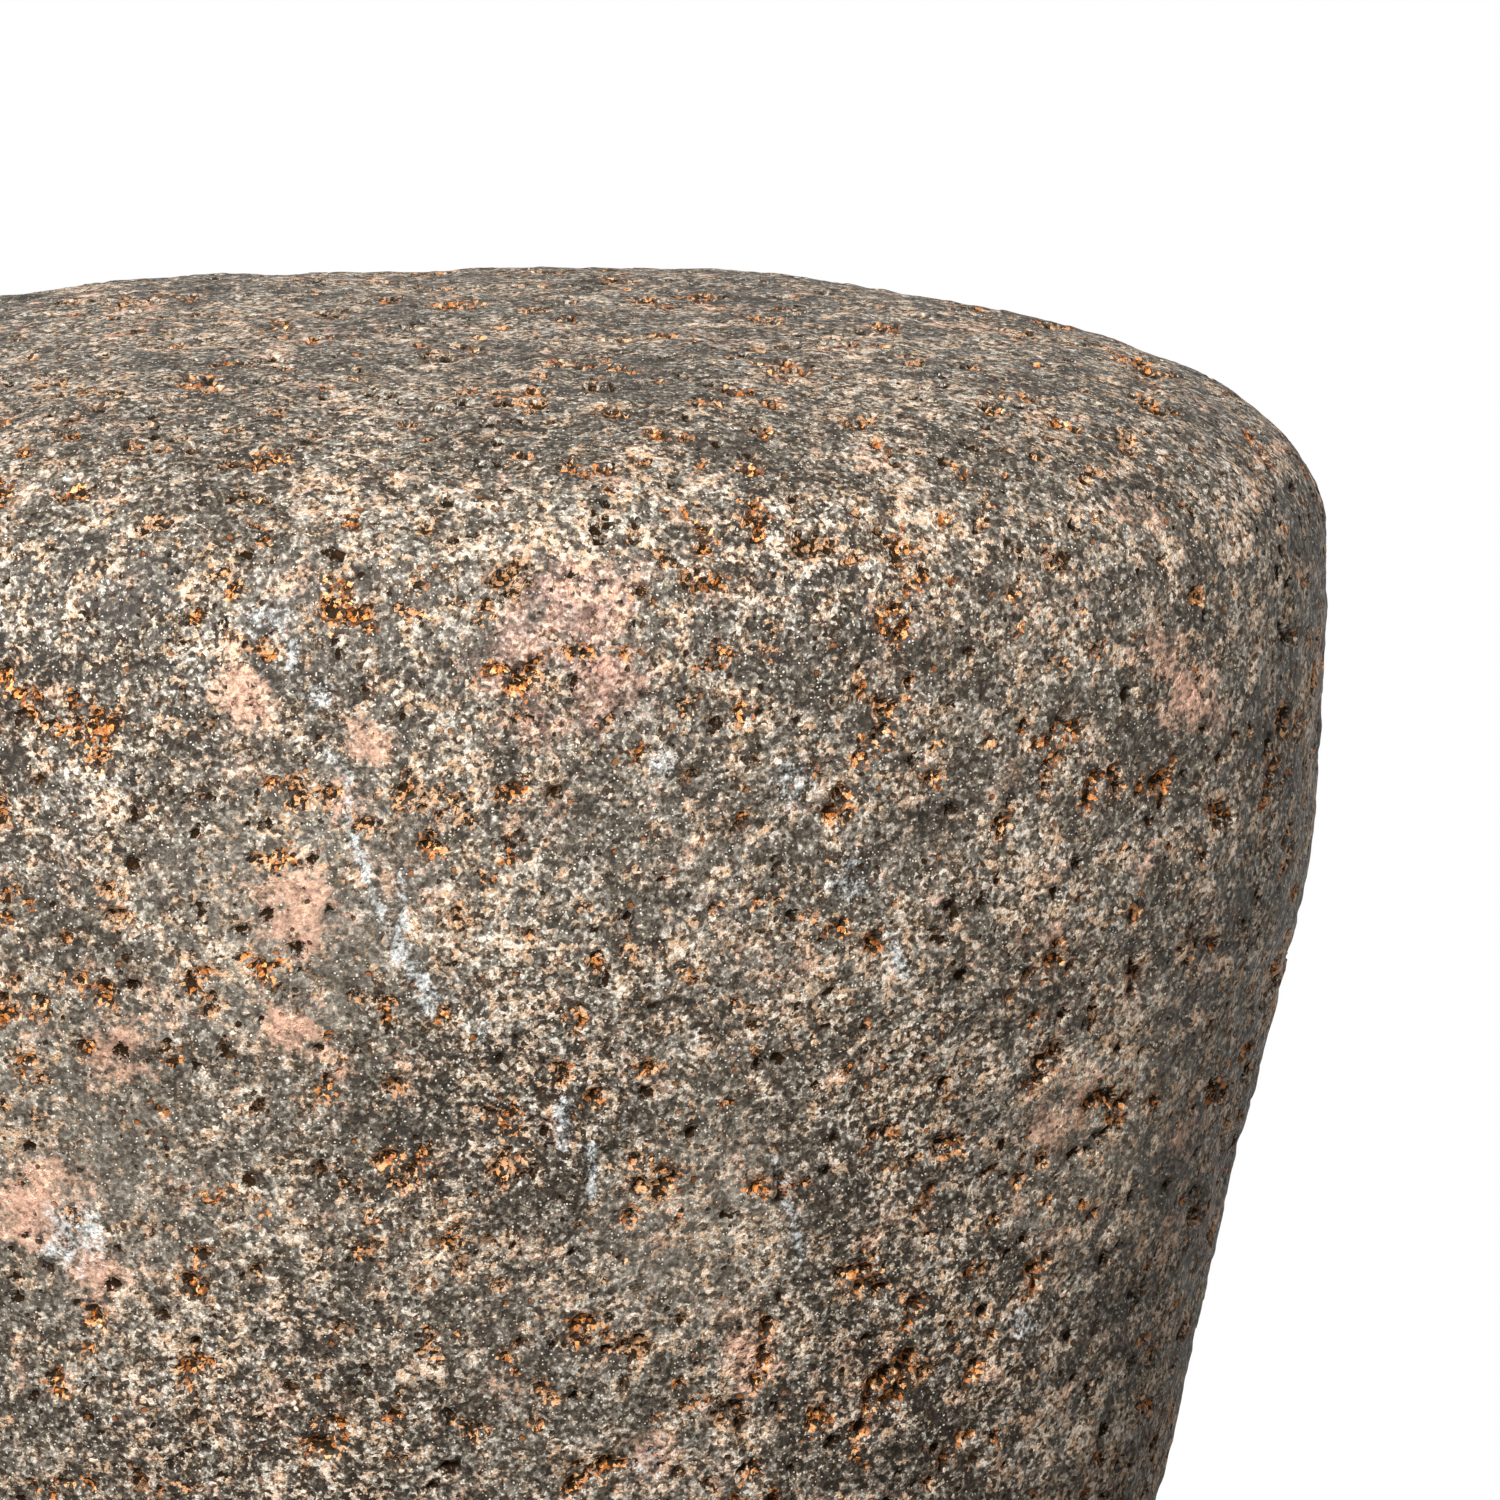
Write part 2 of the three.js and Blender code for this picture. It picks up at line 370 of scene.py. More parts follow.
class Pits:
    """Hollows left by gas bubbles: how deep each vertex sinks, how much painted shade darkens it, and how
    rusty it is.
    """

    def __init__(self, mesh, points, ragged):
        self.points = warped(points, ragged, 3.2 * ragged, (61, 62, 63))
        self.normals = mesh_normals(mesh)
        areas = vertex_areas(mesh)
        self.area = areas.sum()
        self.chance = np.cumsum(areas) / self.area
        self.sink = np.zeros(len(points))
        self.dark = np.zeros(len(points))
        self.rust = np.zeros(len(points))
        self.rim = np.zeros(len(points))
        self.tree = KDTree(len(points))
        for index, point in enumerate(self.points.tolist()):
            self.tree.insert(point, index)
        self.tree.balance()

    def scatter(self, rng, per_area):
        """Random vertices, evenly spread over the surface."""
        return np.searchsorted(self.chance, rng.random(int(self.area * per_area)))

    def nearest(self, point):
        return self.tree.find(point)[1]

    def carve(self, centre, radius, depth, rust):
        """One rounded hollow."""
        for _, index, distance in self.tree.find_range(centre, radius * RIM_REACH):
            share = distance / radius
            if share < 1:
                self.sink[index] = max(self.sink[index], depth * math.sqrt(1 - share * share))
                # Painted shade, darker towards the hollow's middle.
                self.dark[index] = max(self.dark[index], min(1, (1 - share) * HOLLOW_SHADE_GAIN))
            self.rust[index] = max(self.rust[index], rust)
            rim = (RIM_REACH - share) / (RIM_REACH - RIM_FULL)
            self.rim[index] = max(self.rim[index], min(1, rim))

    def group(self, rng, index, size, rust):
        """A ragged group of small hollows that break into each other."""
        centre = self.points[index]
        normal = self.normals[index]
        side = np.cross(normal, (0.3, 0.2, 0.9))
        side /= np.linalg.norm(side)
        up = np.cross(normal, side)
        stretch = rng.uniform(0.6, 1.5)
        for _ in range(rng.integers(*HOLLOWS_IN_GROUP)):
            turn, reach = rng.uniform(0, 2 * math.pi), size * math.sqrt(rng.random())
            across = side * math.cos(turn) * stretch + up * math.sin(turn) / stretch
            radius = size * rng.uniform(*HOLLOW_SHARE)
            self.carve(centre + across * reach, radius, radius * rng.uniform(*GROUP_DEPTH), rust)

    def spread(self, rng, style, worn):
        """Groups and lone hollows all over the surface, smaller where it is worn."""
        least, more, power = style["group_size"]
        most_rust, rust_power = style["group_rust"]
        for index in self.scatter(rng, style["groups"]):
            size = least + more * rng.random() ** power
            rust = most_rust * rng.random() ** rust_power
            self.group(rng, index, size * (1 - WORN_SHRINK * worn[index]), rust)
        most_rust, rust_power = style["lone_rust"]
        for index in self.scatter(rng, style["lone"]):
            radius = rng.uniform(*style["lone_radius"])
            depth = radius * rng.uniform(*LONE_DEPTH)
            self.carve(self.points[index], radius, depth, most_rust * rng.random() ** rust_power)

    def record(self, mesh):
        """Leaves the pits' painted shade, rust and stained rims on the mesh for its material."""
        add_value(mesh, "pit", self.dark)
        add_value(mesh, "rust", self.rust)
        add_value(mesh, "rim", self.rim)


# ---------------------------------------------------------------- pestle


def pestle_frame():
    """The pestle's own frame: origin at its narrow end, Z up its axis, X the same as the part's."""
    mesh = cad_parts["tejolote"].data
    mesh.calc_loop_triangles()
    corners = np.array([[mesh.vertices[i].co[:] for i in t.vertices] for t in mesh.loop_triangles])
    volume = np.einsum("ij,ij->i", corners[:, 0], np.cross(corners[:, 1], corners[:, 2])) / 6
    middle = (corners.sum(1) / 4 * volume[:, None]).sum(0) / volume.sum()
    offset = corners - middle
    volume = np.einsum("ij,ij->i", offset[:, 0], np.cross(offset[:, 1], offset[:, 2])) / 6
    total = offset.sum(1)
    moments = np.einsum("i,ij,ik->jk", volume, total, total)
    moments += np.einsum("i,iaj,iak->jk", volume, offset, offset)
    axis = np.linalg.eigh(moments)[1][:, -1]
    axis *= math.copysign(1, axis[2])
    lowest = ((corners.reshape(-1, 3) - middle) @ axis).min()
    up = Vector(axis)
    across = Vector((1, 0, 0))
    return Matrix.LocRotScale(
        Vector(middle + axis * lowest), Matrix((across, up.cross(across), up)).transposed(), None
    )


# Marks on the pestle's face: where, in its own frame, and how far each one spreads, in millimetres.
# A scratch has two ends and a half width, and a pit mark has its size and its rust.
PINK_MARKS = (
    ((5, -24, 107), 2.6),
    ((8, -23, 108), 1.2),
    ((7, -24, 104), 1.8),
    ((3, -24, 105), 1.8),
    ((4, -24, 103), 1.5),
)
PEACH_MARKS = (
    ((-5, -24, 96), 1.9),
    ((-3, -24, 100), 1.3),
    ((-2, -24, 102), 1.1),
    ((-7, -24, 104), 1.1),
    ((24, -15, 85), 1.9),
    ((12, -19, 77), 1.6),
    ((29, -13, 101), 1.9),
    ((28, -14, 103), 1.5),
    ((-15, -20, 83), 2.6),
    ((-13, -20, 81), 2.0),
    ((-5, -23, 91), 1.4),
    ((-12, -22, 90), 1.6),
    ((-15, -20, 72), 1.6),
    ((8, -20, 73), 1.1),
)
# Darker patches of stone and painted shade: each spot darkens the tone and raises its contrast, as
# grazing light would.
DARK_PATCH_AND_PAINTED_SHADE_MARKS = (
    ((-13, -21, 103), 6),
    ((14, -20, 107), 4),
    ((3, -23, 88), 5),
    ((17, -19, 86), 4),
    ((18, -17, 76), 6),
    ((-6, -20, 73), 7),
)
# Paler patches of stone and painted light: each spot lightens the tone and lowers its contrast, as on a
# lit face.
PALE_PATCH_AND_PAINTED_LIGHT_MARKS = (
    ((-15, -20, 86), 7),
    ((-5, -23, 95), 6),
    ((10, -21, 83), 4),
    ((26, -13, 84), 5),
)
SCRATCHES = (
    ((-5, -24, 106), (-5, -24, 105), 0.22),
    ((-4, -24, 102), (-3, -24, 101), 0.25),
    ((-3, -24, 101), (-3, -24, 99), 0.18),
    ((-3, -24, 99), (-2, -24, 96), 0.2),
    ((-2, -24, 96), (-1, -24, 94), 0.3),
    ((-1, -24, 94), (0, -24, 92), 0.42),
    ((-1, -24, 97), (-1, -24, 95), 0.25),
    ((5, -23, 88), (5, -22, 86), 0.3),
    ((6, -22, 86), (6, -22, 84), 0.2),
    ((13, -20, 85), (14, -20, 81), 0.28),
    ((2, -23, 91), (2, -23, 90), 0.25),
    ((17, -20, 95), (18, -20, 92), 0.22),
    ((11, -22, 92), (10, -22, 90), 0.12),
)
WHITE_SPOTS = (
    ((-6, -24, 107), 0.9),
    ((-4, -24, 104), 0.8),
    ((9, -23, 101), 0.8),
    ((8, -20, 73), 0.9),
    ((22, -14, 77), 0.8),
    ((14, -22, 100), 1.1),
    ((16, -21, 96), 1.1),
    ((-14, -20, 82), 1.6),
)
PIT_MARKS = (
    ((-1, -23, 85), 0.8, 0.5),
    ((3, -23, 85), 0.8, 0.6),
    ((-9, -21, 81), 0.85, 1.0),
    ((18, -17, 76), 1.1, 0.4),
    ((18, -21, 103), 0.7, 0.5),
    ((11, -23, 105), 0.6, 0.7),
    ((3, -24, 100), 0.6, 0.5),
    ((6, -19, 112), 0.7, 0.6),
    ((11, -13, 113), 0.7, 0.5),
    ((19, -6, 113), 0.7, 0.4),
    ((-7, -24, 106), 0.6, 0.6),
    ((2, -24, 107), 0.6, 0.4),
)


SPOT_EDGE = (0.2, 1.6)  # where a spot starts to fade and where it has faded, in its own sizes
SCRATCH_EDGE = (0.5, 1.6)
DEPTH_WEIGHT = 0.3  # how much distance into the stone counts, so that a scratch stays on the skin


def spot_field(points, spots):
    """How strongly each point is inside any of the round spots, 0 to 1, with soft edges."""
    total = np.zeros(len(points))
    full, none = SPOT_EDGE
    for centre, size in spots:
        distance = np.linalg.norm(points - np.array(centre, float), axis=1)
        total = np.maximum(total, 1 - smoothstep(full * size, none * size, distance))
    return total


def scratch_field(points):
    """How strongly each point lies on a scratch, 0 to 1."""
    total = np.zeros(len(points))
    full, none = SCRATCH_EDGE
    for start, end, width in SCRATCHES:
        start, end = np.array(start, float), np.array(end, float)
        along = end - start
        share = np.clip((points - start) @ along / (along @ along), 0, 1)
        nearest = start + share[:, None] * along
        offset = points - nearest
        offset[:, 1] *= DEPTH_WEIGHT
        distance = np.linalg.norm(offset, axis=1)
        total = np.maximum(total, 1 - smoothstep(full * width, none * width, distance))
    return total


def pestle_mesh():
    """The pestle's skin in its own frame, in millimetres: finer on the face of the head."""
    outline = pestle_outline()
    run = np.concatenate([[0], np.cumsum(np.linalg.norm(np.diff(outline, axis=0), axis=1))])

    def height_step(s):
        height = np.interp(s, run, outline[:, 1])
        fine = smoothstep(FINE_FROM_HEIGHT - FINE_BLEND_HEIGHT, FINE_FROM_HEIGHT, height)
        return COARSE_STEP + (FINE_STEP - COARSE_STEP) * fine

    def turn_step(azimuth):
        edge = FINE_HALF_AZIMUTH + FINE_BLEND_AZIMUTH
        off = smoothstep(FINE_HALF_AZIMUTH, edge, np.abs(azimuth))
        return FINE_STEP + (COARSE_STEP - FINE_STEP) * off

    def turn_length(azimuth):
        return HEAD_RADIUS * np.hypot(np.cos(azimuth), PESTLE_FLATNESS * np.sin(azimuth))

    stations = spread_steps(np.ones_like, height_step, 0, run[-1])
    rings = np.stack([np.interp(stations, run, outline[:, i]) for i in range(2)], 1)
    rings[0, 0] = rings[-1, 0] = 0
    azimuths = spread_steps(turn_length, turn_step, -math.pi, math.pi)[:-1]
    points, faces = turned_grid(rings, azimuths)
    points[:, 1] *= PESTLE_FLATNESS
    return new_mesh("pestle_skin", points, faces)


def pestle_lift(points):
    """How far the pestle's skin stands out from its outline, before pits and scratches."""
    pushed = warped(points, 0.8, 2.5, (3, 4, 5))
    waves, grain, crumble = PESTLE_WAVES, PESTLE_GRAIN, PESTLE_CRUMBLE
    lift = waves[0] * rough(points, waves[1], 11, 2) + grain[0] * rough(pushed, grain[1], 12, 3, 0.6)
    lift = lift + crumble[0] * rough(pushed, crumble[1], 13, 2, 0.7)
    height = points[:, 2]
    held = np.maximum(1 - smoothstep(*END_HELD_BELOW, height), smoothstep(*HEAD_HELD_FROM, height))
    return np.minimum(lift, SKIN_MARGIN) - SKIN_MARGIN * held


def make_pestle(material):
    mesh = pestle_mesh()
    points, normals = mesh_points(mesh), mesh_normals(mesh)
    rng = np.random.default_rng(SEED)
    pits = Pits(mesh, points, PESTLE_PITS["ragged"])
    for place, size, rust in PIT_MARKS:
        pits.group(rng, pits.nearest(place), size, rust)
    pits.spread(rng, PESTLE_PITS, np.zeros(len(points)))
    scratch = scratch_field(points)
    move = pestle_lift(points) - pits.sink - SCRATCH_DEPTH * scratch
    set_points(mesh, points + normals * move[:, None])
    pits.record(mesh)
    add_value(mesh, "pink", spot_field(points, PINK_MARKS))
    add_value(mesh, "peach", spot_field(points, PEACH_MARKS))
    # Painted shade and light, with darker and paler patches of stone, for the material's tone.
    add_value(mesh, "shade", spot_field(points, DARK_PATCH_AND_PAINTED_SHADE_MARKS) - spot_field(points, PALE_PATCH_AND_PAINTED_LIGHT_MARKS))
    add_value(mesh, "white", np.maximum(scratch, spot_field(points, WHITE_SPOTS)))
    mesh.transform(pestle_frame() @ Matrix.Scale(MM, 4))
    mesh.shade_smooth()
    mesh.materials.append(material)
    return link("tejolote_stone_skin", mesh)


# ---------------------------------------------------------------- mortar


def full_turn(steps):
    """Evenly spaced azimuths once round."""
    return np.linspace(-math.pi, math.pi, steps + 1)[:-1]


def rough_block():
    """The bowl and its feet as one mesh of even quads, in millimetres."""
    parts = [turned_grid(bowl_outline(), full_turn(360))]
    for azimuth in FOOT_AZIMUTHS:
        foot, foot_faces = turned_grid(foot_outline(), full_turn(96))
        share = foot[:, 2] / FOOT_ROOT_HEIGHT
        foot[:, 0] += FOOT_SOLE_OFFSET + (FOOT_ROOT_OFFSET - FOOT_SOLE_OFFSET) * share
        turn = math.radians(azimuth)
        x = foot[:, 0] * math.cos(turn) - foot[:, 1] * math.sin(turn)
        y = foot[:, 0] * math.sin(turn) + foot[:, 1] * math.cos(turn)
        parts.append((np.stack([x, y, foot[:, 2]], 1), foot_faces))
    every, all_faces = [], []
    start = 0
    for part, part_faces in parts:
        every.append(part)
        all_faces += [[i + start for i in face] for face in part_faces]
        start += len(part)
    block = link("mortar_block", new_mesh("mortar_block", np.concatenate(every), all_faces))
    remesh = block.modifiers.new("even", "REMESH")
    remesh.mode = "VOXEL"
    remesh.voxel_size = MORTAR_VOXEL
    remesh.use_smooth_shade = True
    bpy.context.view_layer.update()
    evaluated = block.evaluated_get(bpy.context.evaluated_depsgraph_get())
    mesh = bpy.data.meshes.new_from_object(evaluated)
    bpy.data.objects.remove(block)
    return mesh


def root_weight(points):
    """How close each point is to the corner where a foot meets the belly, 0 to 1."""
    away = np.full(len(points), 1e9)
    radius = np.hypot(points[:, 0], points[:, 1])
    height = points[:, 2]
    belly = np.abs(radius - belly_radius(height))
    under = np.abs(height - BELLY_HEIGHT)
    past_underside = np.maximum(0, radius - BOWL_OUTER_RADIUS * UNDERSIDE_SHARE)
    belly = np.minimum(belly, under + past_underside)
    for azimuth in FOOT_AZIMUTHS:
        turn = math.radians(azimuth)
        share = height / FOOT_ROOT_HEIGHT
        offset = FOOT_SOLE_OFFSET + (FOOT_ROOT_OFFSET - FOOT_SOLE_OFFSET) * share
        width = FOOT_SOLE_RADIUS + (FOOT_ROOT_RADIUS - FOOT_SOLE_RADIUS) * share
        middle = np.stack([offset * math.cos(turn), offset * math.sin(turn)], 1)
        foot = np.abs(np.linalg.norm(points[:, :2] - middle, axis=1) - width)
        away = np.minimum(away, np.maximum(foot, belly))
    above_sole = smoothstep(*ROOT_BLEND_FROM, height) * (height < ROOT_BLEND_CEILING)
    return np.clip(1.25 - away / ROOT_BLEND, 0, 1) * above_sole


def relax(mesh, points, weight, rounds):
    """Moves each weighted point towards the middle of its neighbours, round after round."""
    edges = np.zeros(len(mesh.edges) * 2, np.int32)
    mesh.edges.foreach_get("vertices", edges)
    a, b = edges.reshape(-1, 2).T
    degree = np.bincount(a, minlength=len(points)) + np.bincount(b, minlength=len(points))
    for _ in range(rounds):
        for axis in range(3):
            near = np.bincount(a, points[b, axis], len(points))
            near += np.bincount(b, points[a, axis], len(points))
            points[:, axis] += weight * (near / degree - points[:, axis])
    return points


def worn_share(points, normals):
    """How much each point of the hollow is worn smooth by grinding, 0 to 1."""
    radius, height = np.hypot(points[:, 0], points[:, 1]), points[:, 2]
    over_belly = height > BELLY_HEIGHT + 20
    inside = (radius < BOWL_INNER_RADIUS + 2) & (normals[:, 2] > -0.2) & over_belly
    return inside * smoothstep(MORTAR_HEIGHT - 10, MORTAR_HEIGHT - 22, height)


def mortar_lift(points, worn, sole):
    """How far the mortar's skin stands out from its outline, before pits."""
    pushed = warped(points, 2.5, 9, (23, 24, 25))
    waves, grain = MORTAR_WAVES, MORTAR_GRAIN
    lift = waves[0] * rough(points, waves[1], 31, 2) + grain[0] * rough(pushed, grain[1], 32, 3, 0.55)
    lift *= 1 - WORN_SMOOTHING * worn
    lift = np.minimum(lift, MORTAR_MARGIN) - MORTAR_MARGIN
    return np.where(sole > 0, np.maximum(lift, -SOLE_MARGIN) * (1 - 0.6 * sole), lift)


def make_mortar(material):
    mesh = rough_block()
    points = mesh_points(mesh)
    points = relax(mesh, points, root_weight(points), ROOT_ROUNDS)
    points = relax(mesh, points, np.full(len(points), 0.5), BLOCK_ROUNDS)
    set_points(mesh, points)
    normals = mesh_normals(mesh)
    worn = worn_share(points, normals)
    sole = 1 - smoothstep(0.0, SOLE_HEIGHT, points[:, 2])
    pits = Pits(mesh, points, MORTAR_PITS["ragged"])
    pits.spread(np.random.default_rng(SEED + 1), MORTAR_PITS, worn)
    move = mortar_lift(points, worn, sole) - pits.sink * (1 - 0.5 * sole)
    set_points(mesh, points + normals * move[:, None])
    pits.record(mesh)
    add_value(mesh, "worn", worn)
    low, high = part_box("mortar")
    place = Vector(((low.x + high.x) / 2, (low.y + high.y) / 2, low.z))
    mesh.transform(Matrix.Translation(place) @ Matrix.Scale(MM, 4))
    mesh.shade_smooth()
    mesh.materials.clear()
    mesh.materials.append(material)
    return link("mortar_stone_skin", mesh)


# ---------------------------------------------------------------- materials


class Graph:
    """Short ways to add shader nodes."""

    def __init__(self, name):
        self.material = bpy.data.materials.new(name)
        self.material.use_nodes = True
        self.tree = self.material.node_tree
        self.shader = self.tree.nodes["Principled BSDF"]

    def put(self, target, value):
        if isinstance(value, bpy.types.NodeSocket):
            self.tree.links.new(value, target)
        elif hasattr(value, "__len__") and len(value) == 3 and target.type == "RGBA":
            target.default_value = (*value, 1)
        else:
            target.default_value = value

    def node(self, kind, settings=None, **inputs):
        made = self.tree.nodes.new(kind)
        for key, value in (settings or {}).items():
            setattr(made, key, value)
        for key, value in inputs.items():
            self.put(made.inputs[key.replace("_", " ")], value)
        return made

    def math(self, operation, a, b=0.0, c=None):
        made = self.tree.nodes.new("ShaderNodeMath")
        made.operation = operation
        self.put(made.inputs[0], a)
        self.put(made.inputs[1], b)
        if c is not None:
            self.put(made.inputs[2], c)
        return made.outputs[0]

    def add(self, a, b):
        return self.math("ADD", a, b)

    def times(self, a, b):
        return self.math("MULTIPLY", a, b)

    def scaled(self, value, gain, start):
        return self.math("MULTIPLY_ADD", value, gain, start)

    def centred(self, value, gain, middle=0.0):
        """A value from 0 to 1 turned into one spread about `middle`."""
        return self.scaled(value, gain, middle - gain / 2)

    def mix(self, share, a, b, blend="MIX"):
        made = self.tree.nodes.new("ShaderNodeMix")
        made.data_type = "RGBA"
        made.blend_type = blend
        self.put(made.inputs[0], share)
        self.put(made.inputs[6], a)
        self.put(made.inputs[7], b)
        return made.outputs[2]

    def step(self, value, low, high, start=0.0, end=1.0):
        """From `start` below `low` to `end` above `high`, and smooth between."""
        made = self.node(
            "ShaderNodeMapRange",
            {"interpolation_type": "SMOOTHSTEP"},
            Value=value,
            From_Min=low,
            From_Max=high,
            To_Min=start,
            To_Max=end,
        )
        return made.outputs[0]

    def noise(self, where, per_mm, detail=2.0, roughness=0.5):
        made = self.node(
            "ShaderNodeTexNoise", None, Vector=where, Scale=per_mm, Detail=detail, Roughness=roughness
        )
        return made.outputs[0]

    def cells(self, where, per_mm):
        """Random grains: how far a point is from its grain's middle, and two numbers of the grain's."""
        made = self.node("ShaderNodeTexVoronoi", None, Vector=where, Scale=per_mm)
        number = self.node("ShaderNodeSeparateColor", None, Color=made.outputs["Color"])
        return made.outputs["Distance"], number.outputs[0], number.outputs[1]

    def ramp(self, value, stops):
        made = self.tree.nodes.new("ShaderNodeValToRGB")
        elements = made.color_ramp.elements
        while len(elements) < len(stops):
            elements.new(0.5)
        for element, (position, colour) in zip(elements, stops):
            element.position = position
            element.color = (*colour, 1)
        self.put(made.inputs[0], value)
        return made.outputs[0]

    def shift(self, where, offset):
        made = self.tree.nodes.new("ShaderNodeVectorMath")
        made.operation = "ADD"
        self.put(made.inputs[0], where)
        self.put(made.inputs[1], offset)
        return made.outputs[0]

    def tinted(self, paint, shade):
        """A paint colour made lighter and darker by the grains."""
        grey = self.node("ShaderNodeCombineColor", None, Red=shade, Green=shade, Blue=shade)
        return self.mix(1.0, grey.outputs[0], paint, "MULTIPLY")

    def attribute(self, name):
        return self.node("ShaderNodeAttribute", {"attribute_name": name}).outputs["Fac"]

    def place_mm(self):
        """The point on the resting object, in millimetres."""
        coordinates = self.tree.nodes.new("ShaderNodeTexCoord")
        made = self.tree.nodes.new("ShaderNodeVectorMath")
        made.operation = "SCALE"
        self.put(made.inputs[0], coordinates.outputs["Object"])
        made.inputs["Scale"].default_value = 1 / MM
        return made.outputs[0]

    def warp(self, where, per_mm, reach):
        """The place pushed about by noise, so that grains aren't tidy cells."""
        push = self.node("ShaderNodeTexNoise", None, Vector=where, Scale=per_mm, Detail=1.0)
        centred = self.tree.nodes.new("ShaderNodeVectorMath")
        centred.operation = "MULTIPLY_ADD"
        self.put(centred.inputs[0], push.outputs["Color"])
        self.put(centred.inputs[1], (reach, reach, reach))
        self.put(centred.inputs[2], where)
        return centred.outputs[0]


COOL_STOPS = (
    (0.0, (0.006, 0.0038, 0.0018)),
    (0.28, (0.0195, 0.0147, 0.0094)),
    (0.5, (0.0475, 0.0398, 0.0305)),
    (0.72, (0.113, 0.1, 0.0815)),
    (1.0, (0.29, 0.27, 0.236)),
)
WARM_STOPS = (
    (0.0, (0.009, 0.0052, 0.0024)),
    (0.28, (0.035, 0.0228, 0.0132)),
    (0.5, (0.092, 0.0695, 0.0475)),
    (0.72, (0.166, 0.132, 0.0975)),
    (1.0, (0.33, 0.278, 0.222)),
)
CRUMB_STOPS = (
    (0.0, (0.05, 0.016, 0.005)),
    (0.35, (0.19, 0.06, 0.013)),
    (0.7, (0.33, 0.122, 0.031)),
    (1.0, (0.44, 0.245, 0.105)),
)
TONE_MIDDLE = 0.47
GOLDEN = (0.25, 0.142, 0.07)
GAP_SHADE = (0.017, 0.009, 0.0038)
GLINT = (0.33, 0.3, 0.255)
HOLE_SHADE = (0.009, 0.0045, 0.0018)
PRICK_RUST = (0.12, 0.042, 0.012)
CRUMB_GAP_SHADE = (0.013, 0.008, 0.004)
SAND = (0.3, 0.18, 0.1)
PEACH = (0.24, 0.148, 0.097)
PINK = (0.2, 0.108, 0.08)
CHALK = (0.19, 0.2, 0.2)
WORN_TINT = (1.35, 1.32, 1.28)
SHEEN_SPECULAR = 0.2
HOLE_SPECULAR = 0.02
COOL_ROUGHNESS = 0.62
WARM_ROUGHNESS = 0.92
BUMP_SHARE = 0.49  # height of the grains' relief, in grain sizes


